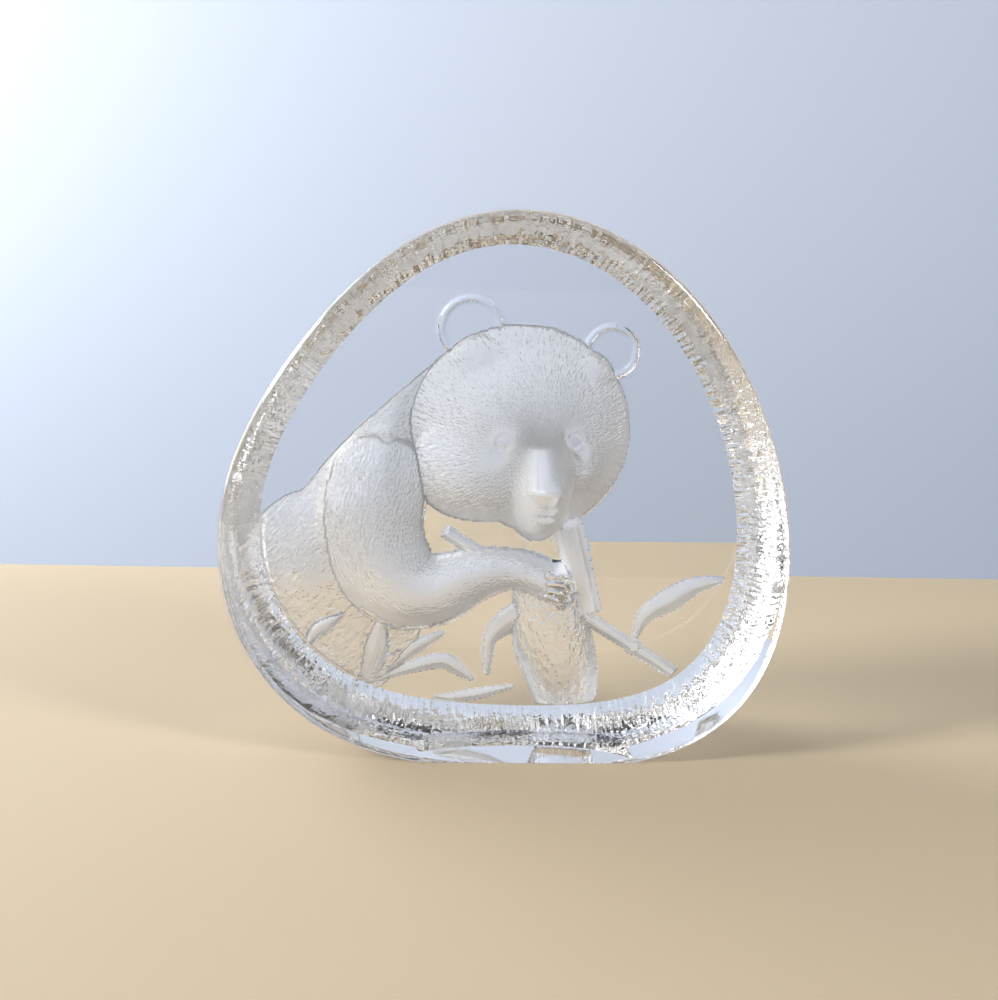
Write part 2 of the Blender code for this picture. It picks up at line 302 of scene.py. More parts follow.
@dataclass(frozen=True)
class Groove:
    """A soft furrow along a path: its depth falls off as a bell over its width."""

    path: tuple[tuple[float, float], ...]
    width: float
    depth: float

    def cut(self, x: np.ndarray, z: np.ndarray) -> np.ndarray:
        """Depth taken away: depth times e to the power of -(distance / width) squared.

        Args:
            x: places along the canvas, in millimetres.
            z: places up it.

        Returns:
            The depth at each place.
        """
        rows = smooth_stations(self.path, 6)
        away = np.full_like(x, 1e3)
        for start, end in zip(rows, rows[1:]):
            run = end - start
            length = float(np.hypot(*run))
            side, up = x - start[0], z - start[1]
            share = np.clip((side * run[0] + up * run[1]) / length**2, 0.0, 1.0)
            away = np.minimum(away, np.hypot(side - share * run[0], up - share * run[1]))
        return self.depth * np.exp(-((away / self.width) ** 2))


@dataclass(frozen=True)
class Dent:
    """A soft oval hollow, turned on the canvas."""

    x: float
    z: float
    half_width: float
    half_height: float
    turn: float
    depth: float

    def radius(self, x: np.ndarray, z: np.ndarray) -> np.ndarray:
        """Distance from the middle, as a share of the way to the oval's edge.

        Args:
            x: places along the canvas, in millimetres.
            z: places up it.

        Returns:
            The distance at each place.
        """
        turn = math.radians(self.turn)
        side, up = x - self.x, z - self.z
        wide = (side * math.cos(turn) + up * math.sin(turn)) / self.half_width
        high = (up * math.cos(turn) - side * math.sin(turn)) / self.half_height
        return np.hypot(wide, high)

    def cut(self, x: np.ndarray, z: np.ndarray) -> np.ndarray:
        """Depth taken away: depth times e to the power of -2 r squared."""
        return self.depth * np.exp(-2.0 * self.radius(x, z) ** 2)


# The figure, laid out in millimetres on the back face


@dataclass(frozen=True)
class Head:
    """The panda's head, turned a little to the right, without its ears."""

    skull: Dome = Dome(3.4, 80.4, 27.8, 27.0, 0.0, 1.2, 15.0, (1.5, -2.0), 1.05)
    left_cheek: Dome = Dome(-8.0, 70.5, 15.6, 13.2, -12.0, 5.5, 8.7, (2.0, -1.0), 1.0)
    right_cheek: Dome = Dome(17.8, 74.6, 10.8, 12.6, 24.0, 1.2, 13.0, (0.0, -1.5), 1.05)
    muzzle: Dome = Dome(8.8, 71.0, 8.4, 16.6, 0.0, 8.5, 13.5, (2.2, -7.0), 0.75)
    chin: Dome = Dome(9.6, 58.8, 6.4, 4.8, 0.0, 5.0, 12.0, (0.6, -0.4), 0.7)
    brow: tuple[float, float] = (7.6, 78.0)
    sockets: tuple[Dent, ...] = (
        Dent(-2.4, 76.8, 4.8, 7.0, -28.0, 1.3),
        Dent(17.4, 78.2, 3.6, 6.0, 22.0, 1.3),
    )
    eyes: tuple[tuple[float, float, float], ...] = ((-1.1, 78.6, 1.9), (17.0, 79.3, 1.7))
    mouth: tuple[Groove, ...] = (
        Groove(((6.0, 60.4), (7.8, 59.6), (9.6, 60.0), (11.8, 59.6), (13.4, 60.4)), 0.5, 0.55),
        Groove(((9.7, 62.2), (9.6, 60.0)), 0.4, 0.4),
    )
    fold: tuple[Groove, ...] = (
        Groove(((13.9, 80.6), (14.9, 78.0), (16.6, 75.8), (18.6, 73.4)), 0.45, 1.5),
        Groove(((17.6, 74.6), (19.4, 71.6)), 0.7, 2.0),
    )
    hair_scale: float = 22.0
    cheek_fillet: float = 3.5
    muzzle_fillet: float = 4.0
    chin_fillet: float = 1.0
    ball_rise: float = 0.8
    lid_rise: float = 0.55
    lid_gap: float = 0.7
    lid_width: float = 0.45
    tip: tuple[float, float] = (9.8, 63.5)
    tip_reach: float = 7.0
    tip_bareness: float = 0.8
    bridge_reach: tuple[float, float] = (0.6, 6.0)
    bridge_bareness: float = 0.9

    def lift(self, x: np.ndarray, z: np.ndarray) -> np.ndarray:
        """Skull and cheeks under one skin, with the muzzle, chin, sockets, mouth and folds.

        Args:
            x: places along the canvas, in millimetres.
            z: places up it.

        Returns:
            The height at each place.
        """
        head = soft_max(self.skull.lift(x, z), self.left_cheek.lift(x, z), self.cheek_fillet)
        head = soft_max(head, self.right_cheek.lift(x, z), self.cheek_fillet)
        for socket in self.sockets:
            head = head - socket.cut(x, z)
        head = soft_max(head, self.muzzle.lift(x, z), self.muzzle_fillet)
        head = soft_max(head, self.chin.lift(x, z), self.chin_fillet)
        for groove in (*self.mouth, *self.fold):
            head = head - groove.cut(x, z)
        return head

    def eyeballs(self, x: np.ndarray, z: np.ndarray) -> np.ndarray:
        """Height that the eyes add: a ball inside a groove inside a thin raised lid.

        Args:
            x: places along the canvas, in millimetres.
            z: places up it.

        Returns:
            The height to add at each place.
        """
        added = np.zeros_like(x)
        for eye_x, eye_z, radius in self.eyes:
            away = np.hypot(x - eye_x, z - eye_z)
            ball = self.ball_rise * np.clip(1.0 - (away / radius) ** 2, 0.0, 1.0)
            lid = self.lid_rise * np.exp(-(((away - radius - self.lid_gap) / self.lid_width) ** 2))
            added += ball + lid
        return added

    def bare(self, x: np.ndarray, z: np.ndarray) -> np.ndarray:
        """Where there is no hair: 1 around the eyes, on the muzzle's bridge and tip.

        Args:
            x: places along the canvas, in millimetres.
            z: places up it.

        Returns:
            How bare each place is, from 0 to 1.
        """
        inside = [1.0 - smooth_step(socket.radius(x, z), 0.3, 1.3) for socket in self.sockets]
        tip = np.hypot((x - self.tip[0]) / self.tip_reach, (z - self.tip[1]) / self.tip_reach)
        inside.append(self.tip_bareness * (1.0 - smooth_step(tip, 0.6, 1.1)))
        bridge = 1.0 - smooth_step(np.abs(x - self.brow[0]), *self.bridge_reach)
        below_brow = smooth_step(z, self.brow[1] + 1.0, self.brow[1] - 1.5)
        inside.append(self.bridge_bareness * bridge * below_brow)
        return np.maximum.reduce(inside)

    def hair(self, x: np.ndarray, z: np.ndarray) -> tuple[np.ndarray, np.ndarray]:
        """The hair runs out from the brow: along is the log of the distance, across the angle.

        Args:
            x: places along the canvas, in millimetres.
            z: places up it.

        Returns:
            The hair's coordinate along it and the one across it.
        """
        side, up = x - self.brow[0], z - self.brow[1]
        away = np.hypot(side, up) + 2.0
        return self.hair_scale * np.log(away), self.hair_scale * np.arctan2(side, up)


@dataclass(frozen=True)
class Nose:
    """The polished nose: it stands out at its top edge and slopes back below."""

    x: float = 9.9
    top: float = 66.2
    half_width: float = 4.2
    height: float = 4.2
    stand: float = 1.8
    fall: float = 1.9
    edge: float = 0.7
    narrowing: float = 0.7
    nostrils: tuple[Dent, ...] = (
        Dent(7.8, 64.6, 0.8, 0.6, 20.0, 0.35),
        Dent(12.0, 64.6, 0.8, 0.6, -20.0, 0.35),
    )

    def cover(self, x: np.ndarray, z: np.ndarray) -> np.ndarray:
        """1 inside a rounded triangle that narrows downwards, 0 outside it.

        Args:
            x: places along the canvas, in millimetres.
            z: places up it.

        Returns:
            How far each place is inside, from 0 to 1.
        """
        down = np.clip((self.top - z) / self.height, 0.0, 1.0)
        half = self.half_width * (1.0 - self.narrowing * down**1.6)
        side = (half - np.abs(x - self.x)) / self.edge
        high = np.minimum(self.top - z, z - self.top + self.height) / self.edge
        return smooth_step(np.minimum(side, high), -0.5, 0.5)

    def raise_from(self, head: np.ndarray, x: np.ndarray, z: np.ndarray) -> np.ndarray:
        """Adds the nose to the muzzle's height: stand less fall times the way down.

        Args:
            head: the head's height without its nose.
            x: places along the canvas, in millimetres.
            z: places up it.

        Returns:
            The height with the nose.
        """
        down = np.clip((self.top - z) / self.height, 0.0, 1.0)
        raised = head + (self.stand - self.fall * down) * self.cover(x, z)
        for nostril in self.nostrils:
            raised = raised - nostril.cut(x, z)
        return raised


@dataclass(frozen=True)
class Ear:
    """A round ear: a low polished disc with a rolled rim and a tuft of fur at its foot."""

    x: float
    z: float
    radius: float
    tuft: Dome
    disc: float = 0.5
    rim: float = 1.5
    roll: float = 1.0
    flatness: float = 0.98

    def lift(self, x: np.ndarray, z: np.ndarray) -> np.ndarray:
        """The disc, and over it the rim times 1 - (distance from its middle / roll) squared.

        Args:
            x: places along the canvas, in millimetres.
            z: places up it.

        Returns:
            The height at each place.
        """
        away = np.hypot(x - self.x, (z - self.z) / self.flatness)
        middle = self.radius - self.roll
        rolled = self.rim * np.clip(1.0 - ((away - middle) / self.roll) ** 2, 0.0, 1.0)
        flat = np.where(away < middle, self.disc, 0.0)
        return np.maximum(rolled, flat)


CLAW_WIDTHS = (0.9, 0.7, 0.3)


def claw(stations: tuple[tuple[float, float, float], ...]) -> Strand:
    """A round claw along stations of x, z and lift, as high over its edge as it is half wide.

    Args:
        stations: rows of x, z and the lift of the edge.

    Returns:
        The claw.
    """
    return Strand(
        tuple((x, z, width, lift, width) for (x, z, lift), width in zip(stations, CLAW_WIDTHS))
    )


@dataclass(frozen=True)
class Limbs:
    """The back with the haunch and chest, the arm with its claws, and the hind leg."""

    back: Strand = Strand(
        (
            (-7.0, 87.6, 15.0, 1.0, 6.5),
            (-27.5, 68.5, 15.2, 1.0, 8.0),
            (-36.5, 56.5, 16.0, 1.0, 8.0),
            (-43.5, 46.0, 17.0, 0.5, 6.0),
        ),
        power=0.9,
    )
    haunch: Dome = Dome(-44.0, 36.0, 24.0, 29.0, 12.0, 0.0, 6.5, (0.0, 6.0), 0.9)
    arm: Strand = Strand(
        (
            (-32.0, 67.0, 12.0, 4.5, 6.5),
            (-34.0, 55.5, 12.7, 5.0, 7.5),
            (-31.5, 46.0, 12.5, 5.5, 8.0),
            (-25.5, 39.0, 10.7, 6.0, 8.0),
            (-17.5, 38.0, 9.0, 6.5, 7.5),
            (-9.5, 41.5, 7.1, 7.0, 6.0),
            (-3.3, 43.6, 5.8, 7.5, 5.0),
            (2.9, 44.0, 4.4, 8.0, 4.0),
            (8.2, 42.6, 4.0, 8.0, 4.5),
            (12.8, 40.8, 4.2, 8.0, 5.0),
        ),
        power=0.8,
    )
    chest: Dome = Dome(-8.0, 74.0, 21.0, 35.0, 0.0, 0.0, 7.5)
    leg: Strand = Strand(
        (
            (12.6, 36.0, 8.6, 2.0, 3.5),
            (14.3, 26.0, 9.9, 2.5, 4.5),
            (16.9, 17.5, 9.3, 2.5, 4.5),
            (18.6, 10.5, 8.2, 2.0, 4.0),
        ),
        power=0.8,
    )
    claws: tuple[Strand, ...] = (
        claw(((12.0, 43.6, 12.6), (15.6, 43.4, 12.4), (18.0, 41.6, 11.0))),
        claw(((12.4, 41.8, 13.0), (16.2, 41.2, 12.8), (18.4, 39.2, 11.4))),
        claw(((12.4, 39.8, 12.8), (16.0, 38.8, 12.4), (17.8, 36.6, 11.2))),
        claw(((11.6, 38.2, 12.2), (14.8, 36.8, 11.8), (16.2, 34.8, 10.6))),
    )


def cane(*ends: tuple[float, ...]) -> Strand:
    """A straight cane, cut off square at both ends."""
    return Strand(ends, square_ends=True)


def leaf(*stations: tuple[float, ...]) -> Strand:
    """A leaf with a raised rib along its stations."""
    return Strand(stations, Profile.RIDGE)


@dataclass(frozen=True)
class Bamboo:
    """The canes and the leaves around the panda."""

    canes: tuple[Strand, ...] = (
        cane((-13.2, 53.4, 1.2, 2.0, 1.2), (36.3, 22.8, 1.2, 2.0, 1.2)),
        cane((35.6, 23.2, 1.25, 1.8, 1.2), (47.5, 15.8, 1.25, 1.8, 1.2)),
        cane((-14.6, 54.2, 1.25, 5.6, 1.2), (-5.2, 48.4, 1.25, 5.6, 1.2)),
        cane((16.8, 56.5, 2.8, 5.5, 2.6), (23.7, 32.8, 2.5, 5.5, 2.4)),
    )
    node: Dome = Dome(36.3, 22.8, 1.8, 1.8, 0.0, 1.9, 1.6, power=0.5)
    leaves: tuple[Strand, ...] = (
        leaf(
            (36.5, 25.6, 0.5, 0.6, 0.5),
            (38.9, 31.4, 1.9, 0.6, 1.2),
            (45.6, 36.2, 2.9, 0.6, 1.6),
            (52.0, 40.0, 2.0, 0.6, 1.2),
            (58.6, 41.6, 0.5, 0.6, 0.4),
        ),
        leaf(
            (8.8, 34.0, 2.2, 3.5, 1.0),
            (2.6, 29.6, 2.9, 1.4, 1.6),
            (-1.8, 25.0, 1.8, 0.7, 1.2),
            (-2.5, 19.4, 1.2, 0.6, 0.9),
            (-2.3, 15.0, 0.4, 0.6, 0.4),
        ),
        leaf(
            (-31.0, 28.5, 1.6, 4.4, 0.9),
            (-32.0, 22.5, 3.0, 3.6, 1.4),
            (-34.2, 14.5, 2.7, 1.4, 1.0),
        ),
        leaf(
            (-49.2, 24.0, 0.8, 5.4, 0.6),
            (-46.4, 27.8, 1.7, 6.2, 0.8),
            (-40.8, 31.6, 0.4, 6.3, 0.4),
        ),
        leaf(
            (-32.2, 12.6, 0.4, 0.6, 0.4),
            (-24.0, 15.8, 1.3, 0.6, 1.0),
            (-14.8, 18.2, 1.9, 0.6, 1.4),
            (-10.4, 16.2, 1.6, 0.6, 1.2),
            (-6.0, 13.0, 0.3, 0.6, 0.4),
        ),
        leaf(
            (-30.2, 14.6, 0.4, 0.6, 0.4),
            (-22.0, 21.6, 1.6, 0.6, 1.0),
            (-14.6, 26.0, 0.5, 0.6, 0.4),
        ),
        leaf(
            (-15.6, 7.4, 0.7, 0.6, 0.4),
            (-5.5, 8.8, 1.3, 0.6, 1.0),
            (4.4, 11.2, 0.3, 0.6, 0.4),
        ),
    )


@dataclass(frozen=True)
class Relief:
    """What the figure's forms make together at a set of places."""

    lift: np.ndarray
    finish: np.ndarray
    along: np.ndarray
    across: np.ndarray
    coat: np.ndarray


@dataclass
class Figure:
    """The panda and its bamboo as one height over the back face."""

    head: Head = field(default_factory=Head)
    nose: Nose = field(default_factory=Nose)
    ears: tuple[Ear, ...] = (
        Ear(-9.9, 106.3, 8.3, Dome(-8.0, 99.4, 6.6, 4.8, 18.0, 1.6, 4.2)),
        Ear(25.6, 101.4, 7.2, Dome(22.0, 96.8, 4.4, 3.4, -40.0, 1.6, 3.8)),
    )
    limbs: Limbs = field(default_factory=Limbs)
    bamboo: Bamboo = field(default_factory=Bamboo)
    tuft_height: float = 0.12
    tuft_fillet: float = 5.0
    hide_below: float = 42.0
    hide_scatter: float = 6.0
    bare_below: float = 26.0
    coat_above: float = 50.0
    neck_width: float = 6.0
    neck_share: float = 0.2
    chest_top: float = 71.0
    chest_fade: float = 8.0
    haunch_fillet: float = 3.0
    arm_fillet: float = 9.0
    armpit: float = 46.0
    shoulder_top: float = 62.0
    clear_rim: float = 0.86
    clear_below: float = 45.0
    clear_right_of: float = -36.0
    least_lift: float = 0.05

    def tufts(self, along: np.ndarray, across: np.ndarray, seed: int) -> np.ndarray:
        """Short lumps of hair: noise twice as long as it is wide, in two sizes.

        Args:
            along: places along the hair.
            across: places across it.
            seed: picks the noise.

        Returns:
            The height to add at each place.
        """
        coarse = lattice_noise(across / 1.8, along / 3.0, seed)
        fine = lattice_noise(across / 1.2, along / 2.0, seed + 1)
        return self.tuft_height * (0.5 * coarse + 0.5 * fine)

    def relief(self, x: np.ndarray, z: np.ndarray) -> Relief:
        """Works out the whole figure.

        Each form's height is compared with the highest so far, and where it is higher
        it gives the place its height, finish and hair direction.

        Args:
            x: places along the canvas, in millimetres.
            z: places up it.

        Returns:
            The relief at each place.
        """
        lift = np.zeros_like(x)
        finish = np.full(x.shape, int(Finish.POLISHED))
        along, across, coat = x.copy(), z.copy(), np.ones_like(x)

        def lay(trace: Trace, kind: Finish) -> None:
            """Adds a form where it stands higher than what is there.

            Args:
                trace: the form.
                kind: the form's finish.
            """
            better = trace.lift > lift
            lift[better] = trace.lift[better]
            finish[better] = int(kind)
            along[better] = trace.along[better]
            across[better] = trace.across[better]

        head = self.head.lift(x, z)
        clear_of_head = smooth_step(-head * WALL_SLOPE, -0.4, self.neck_width)
        below_neck = smooth_step(z, self.chest_top, self.chest_top - self.chest_fade)
        chest = self.limbs.chest.lift(x, z) * below_neck
        lay(Trace(chest, z, x), Finish.POLISHED)
        back = self.limbs.back.trace(x, z)
        body = soft_max(back.lift, self.limbs.haunch.lift(x, z), self.haunch_fillet)
        body = body * (self.neck_share + (1.0 - self.neck_share) * clear_of_head)
        body = body + self.tufts(x, z, 10)
        lay(Trace(body, x * 0.7 + z * 0.7, z * 0.7 - x * 0.7), Finish.FUR)
        leg = self.limbs.leg.trace(x, z)
        legged = leg.lift + self.tufts(leg.along, leg.across, 11)
        lay(Trace(legged, leg.along, leg.across), Finish.FUR)
        patchy = z + self.hide_scatter * lattice_noise(x / 2.2, z / 2.2, 51)
        finish[(patchy < self.hide_below) & (finish == int(Finish.FUR))] = int(Finish.HIDE)
        arm = self.limbs.arm.trace(x, z)
        higher = np.maximum(arm.lift, body)
        blend = soft_max(arm.lift, body, self.arm_fillet) - higher
        blend = blend * smooth_step(z, self.armpit, self.shoulder_top)
        blend = blend * smooth_step(higher, 0.0, 2.0)
        lift += np.where(lift > 1.0, blend, 0.0)
        armed = arm.lift + blend + self.tufts(arm.along, arm.across, 12)
        lay(Trace(armed, arm.along, arm.across), Finish.FUR)
        rim = (arm.lift >= lift - 1.0) & (arm.radius > self.clear_rim)
        rim &= (z < self.clear_below) & (x > self.clear_right_of)
        finish[rim & (lift > self.least_lift)] = int(Finish.SHOULDER)
        for ear in self.ears:
            lay(Trace(ear.lift(x, z), x, z), Finish.POLISHED)
        for strand in (*self.bamboo.leaves, *self.bamboo.canes):
            lay(strand.trace(x, z), Finish.LEAF)
        lay(Trace(self.bamboo.node.lift(x, z), x, z), Finish.LEAF)
        for claw in self.limbs.claws:
            lay(claw.trace(x, z), Finish.POLISHED)
        head_along, head_across = self.head.hair(x, z)
        bare = self.head.bare(x, z)
        hair = self.tufts(head_along, head_across, 20) * (1.0 - bare)
        for ear in self.ears:
            head = soft_max(head, ear.tuft.lift(x, z), self.tuft_fillet)
        head = head + hair
        eyeballs = self.head.eyeballs(x, z)
        head = self.nose.raise_from(head, x, z)
        lay(Trace(head + eyeballs, head_along, head_across), Finish.FUR)
        low = (finish == int(Finish.HIDE)) | (finish == int(Finish.FUR))
        coat[low] = smooth_step(z[low], self.bare_below, self.coat_above)
        on_head = (head > 0.0) & (lift <= head + eyeballs)
        coat[on_head] = 1.0 - bare[on_head]
        coat[on_head & (self.nose.cover(x, z) > 0.5)] = 0.0
        lift = np.maximum(lift, 0.0)
        finish[lift < self.least_lift] = int(Finish.POLISHED)
        return Relief(lift, finish, along, across, coat)

    def smooth_lift(self, x: np.ndarray, z: np.ndarray, reach: float) -> np.ndarray:
        """The height averaged over each place and the corners of a square around it.

        Args:
            x: places along the canvas, in millimetres.
            z: places up it.
            reach: half the square's side.

        Returns:
            The averaged height.
        """
        total = self.relief(x, z).lift
        for side, up in ((-reach, -reach), (-reach, reach), (reach, -reach), (reach, reach)):
            total += self.relief(x + side, z + up).lift
        return total / 5.0


# The block


@dataclass(frozen=True)
class Outline:
    """The block's closed outline before its foot is ground flat.

    It is the one smooth periodic curve through evenly spaced knots: x as a share of
    half the width, z as a share of the height over the keel.
    """

    width: float
    height: float
    foot: float
    knots: tuple[tuple[float, float], ...] = (
        (-0.007, 0.998),
        (-0.476, 0.899),
        (-0.819, 0.692),
        (-0.994, 0.448),
        (-0.870, 0.191),
        (-0.457, 0.034),
        (0.056, 0.000),
        (0.587, 0.028),
        (0.949, 0.197),
        (0.994, 0.466),
        (0.827, 0.713),
        (0.486, 0.916),
    )

    def _waves(self, turns: np.ndarray) -> tuple[np.ndarray, np.ndarray]:
        """The curve and its slope, as sums of whole turns weighted by the knots.

        Args:
            turns: places around the curve, in radians.

        Returns:
            The curve and its slope, with x as the real part and z as the imaginary one.
        """
        knots = np.array([complex(x, z) for x, z in self.knots])
        weights = np.fft.fft(knots) / len(knots)
        weights[len(knots) // 2] = 0.0
        orders = np.fft.fftfreq(len(knots), 1.0 / len(knots))
        waves = np.exp(1j * turns[:, None] * orders)
        return waves @ weights, waves @ (1j * orders * weights)

    def at(self, turns: np.ndarray, inset: float | np.ndarray) -> np.ndarray:
        """Points of the outline, drawn in along its normal.

        Args:
            turns: where on the curve, in radians anticlockwise from the crown.
            inset: how far in, in metres.

        Returns:
            Rows of x and z, in metres.
        """
        whole, _ = self._waves(np.linspace(0.0, 2.0 * math.pi, 2000))
        curve, slope = self._waves(turns)
        x_scale = self.width / np.ptp(whole.real)
        z_scale = (self.height + self.foot) / np.ptp(whole.imag)
        middle = (whole.real.max() + whole.real.min()) / 2.0
        x = (curve.real - middle) * x_scale
        z = (curve.imag - whole.imag.min()) * z_scale - self.foot
        run = np.hypot(slope.real * x_scale, slope.imag * z_scale)
        in_x, in_z = -slope.imag * z_scale / run, slope.real * x_scale / run
        return np.stack([x + inset * in_x, z + inset * in_z], axis=1)


@dataclass
class Block:
    """The block as one closed surface: relief, shoulder, side, rounded edge and front."""

    low: Vector
    high: Vector
    front_round: float = 0.0020
    side_draft: float = 0.0007
    shoulder_depth: float = 0.0160
    shoulder_inset: float = 0.0073
    crown_share: float = 25.0 / 44.0
    foot: float = 0.0024
    grid: int = 256
    shoulder_rings: int = 18
    side_rings: int = 6
    round_rings: int = 6
    hammer: float = 0.00009
    streaks: tuple[int, float] = (300, 5.0)
    grains: tuple[int, float] = (360, 1.3)
    ripples: tuple[int, float] = (150, 2.6)
    swell: float = 0.00004
    settle: float = 0.2
    half_span_mm: float = 63.0

    def __post_init__(self) -> None:
        """Takes the outline's size from the CAD box."""
        size = self.high - self.low
        self.depth = size.y
        self.outline = Outline(size.x, size.z, self.foot)
        self.canvas = (size.x / 0.140, size.z / 0.135, size.y / 0.044)

    def back_grid(self) -> tuple[np.ndarray, np.ndarray, np.ndarray]:
        """Places on the back face, as a square grid that is drawn out to the outline.

        The square goes to a disc by x = u root(1 - v squared / 2), and likewise z, and
        the disc to the outline by its radius along each direction.

        Returns:
            Rows of x and z, the share of the way out to the edge, and each place's turn.
        """
        steps = np.linspace(-1.0, 1.0, self.grid + 1)
        u, v = np.meshgrid(steps, steps, indexing="ij")
        u, v = u.ravel(), v.ravel()
        wide, high = u * np.sqrt(1.0 - v**2 / 2.0), v * np.sqrt(1.0 - u**2 / 2.0)
        turns = np.arctan2(high, wide) - math.pi / 2.0
        share = np.hypot(wide, high)
        edge = self.outline.at(turns, self.side_draft + self.shoulder_inset)
        middle = edge.mean(axis=0)
        places = middle + share[:, None] * (edge - middle)
        return places, share, turns

    def taper(self, points: np.ndarray) -> np.ndarray:
        """Thins the block towards its crown.

        Each depth behind the front is scaled by 1 less a share that grows evenly with
        the climb from the back face's lowest edge, so the back is flat and leans forward.

        Args:
            points: rows of x, y and z, which are changed.

        Returns:
            The same rows.
        """
        front = -self.depth / 2.0
        foot = self.side_draft + self.shoulder_inset - self.foot
        climb = (points[:, 2] - foot) / (self.high.z - self.low.z - foot)
        share = 1.0 - (1.0 - self.crown_share) * climb
        points[:, 1] = front + (points[:, 1] - front) * share
        return points

    def edge_order(self) -> np.ndarray:
        """The grid's outermost points, in anticlockwise order.

        Returns:
            Their places in the grid's list of points.
        """
        last = self.grid
        index = np.arange((last + 1) ** 2).reshape(last + 1, last + 1)
        return np.concatenate(
            [index[last, :last], index[last:0:-1, last], index[0, last:0:-1], index[:last, 0]]
        )

    def dints(
        self, turns: np.ndarray, y: float, pattern: tuple[int, float], seed: int
    ) -> np.ndarray:
        """Noise around one ring.

        Args:
            turns: where on the outline the points lie.
            y: the ring's place along the depth.
            pattern: how many cells there are around the ring, and how long one is in
                millimetres of depth.
            seed: picks the noise.

        Returns:
            The noise at each point, from -1 to 1.
        """
        cells, length = pattern
        around = (turns % (2.0 * math.pi)) / (2.0 * math.pi)
        return lattice_noise(around * cells, np.full_like(turns, y * 1000 / length), seed, cells)

    def hammering(self, turns: np.ndarray, y: float) -> np.ndarray:
        """How deep the rough shoulder is dinted at points of one ring.

        Streaks along the depth over the top and grains lower down, both of noise.

        Args:
            turns: where on the outline the points lie.
            y: the ring's place along the depth.

        Returns:
            How deep each point is dinted, in metres.
        """
        top = 0.5 + 0.5 * np.cos(turns)
        streaks = self.dints(turns, y, self.streaks, 31)
        grains = self.dints(turns, y, self.grains, 32)
        ripples = self.dints(turns, y, self.ripples, 33)
        mixed = top * (0.9 * streaks + 0.3 * grains) + (1 - top) * (0.7 * grains + 0.4 * ripples)
        return self.hammer * (0.6 + mixed)

    def rings(self, turns: np.ndarray) -> list[np.ndarray]:
        """Rings of points from the back edge to the front face.

        Args:
            turns: where on the outline each point of a ring lies.

        Returns:
            One array of x, y, z rows for each ring.
        """
        front, back = -self.depth / 2.0, self.depth / 2.0
        rings = []
        for share in np.linspace(1.0, 0.0, self.shoulder_rings + 1)[1:]:
            y = back - self.shoulder_depth * (1.0 - share)
            fade = float(smooth_step(np.array(1.0 - share), 0.0, 0.06))
            fade *= float(smooth_step(np.array(share), -0.02, 0.12))
            inset = self.side_draft + self.shoulder_inset * share**2
            rings.append((inset + fade * self.hammering(turns, y), y))
        start, end = back - self.shoulder_depth, front + self.front_round
        for share in np.linspace(0.0, 1.0, self.side_rings + 1)[1:]:
            y = start + (end - start) * share
            around = turns / (2 * math.pi) * 90 % 90
            swell = self.swell * lattice_noise(around, turns * 0 + y * 300, 41, 90)
            swell = (swell + self.swell) * float(smooth_step(np.array(share), 1.0, 0.6))
            rings.append((self.side_draft * (1.0 - share) + swell, y))
        for angle in np.linspace(0.0, math.pi / 2.0, self.round_rings + 1)[1:]:
            inset = self.front_round * (1.0 - math.cos(angle))
            rings.append((inset + turns * 0, end - self.front_round * math.sin(angle)))
        made = []
        for inset, y in rings:
            flat = self.outline.at(turns, inset)
            made.append(np.stack([flat[:, 0], np.full(len(turns), y), flat[:, 1]], axis=1))
        return made

    def build(self, figure: Figure) -> bpy.types.Object:
        """Builds the block's mesh with its finishes and the hair's own coordinates.

        Args:
            figure: the relief that is pressed into the back.

        Returns:
            The block's object.
        """
        places, share, turns = self.back_grid()
        x_mm = places[:, 0] * 1000 / self.canvas[0]
        z_mm = places[:, 1] * 1000 / self.canvas[1]
        relief = figure.relief(x_mm, z_mm)
        room = (1.0 - share) * self.half_span_mm
        lift = figure.smooth_lift(x_mm, z_mm, self.settle) * smooth_step(room, 0.5, 1.4)
        y = self.depth / 2.0 - lift * 0.001 * self.canvas[2]
        back = np.stack([places[:, 0], y, places[:, 1]], axis=1)

        edge = self.edge_order()
        rings = self.rings(turns[edge])
        points = np.vstack([back, *rings])
        points[:, 2] = np.maximum(points[:, 2], 0.0)
        points = self.taper(points)

        count = self.grid + 1
        index = np.arange(count * count).reshape(count, count)
        quads = np.stack(
            [index[:-1, :-1], index[:-1, 1:], index[1:, 1:], index[1:, :-1]], axis=-1
        ).reshape(-1, 4)
        loops = [edge] + [
            len(back) + np.arange(len(edge)) + i * len(edge) for i in range(len(rings))
        ]
        walls = [
            np.stack([first, np.roll(first, -1), np.roll(second, -1), second], axis=1)
            for first, second in zip(loops, loops[1:])
        ]
        faces = np.vstack([quads, *walls])
        mesh = bpy.data.meshes.new("crystal_panda_block")
        front = loops[-1].tolist()
        mesh.from_pydata(points.tolist(), [], [*faces.tolist(), front])

        self.sharpen(mesh, loops)
        self.assign_finishes(mesh, faces, quads, relief)
        self.write_hair(mesh, faces, relief, points)
        coat = np.ones(len(points))
        coat[: len(relief.coat)] = relief.coat
        mesh.attributes.new("coat", "FLOAT", "POINT").data.foreach_set("value", coat)
        mesh.validate()
        block = bpy.data.objects.new("crystal_panda", mesh)
        bpy.context.scene.collection.objects.link(block)
        return block

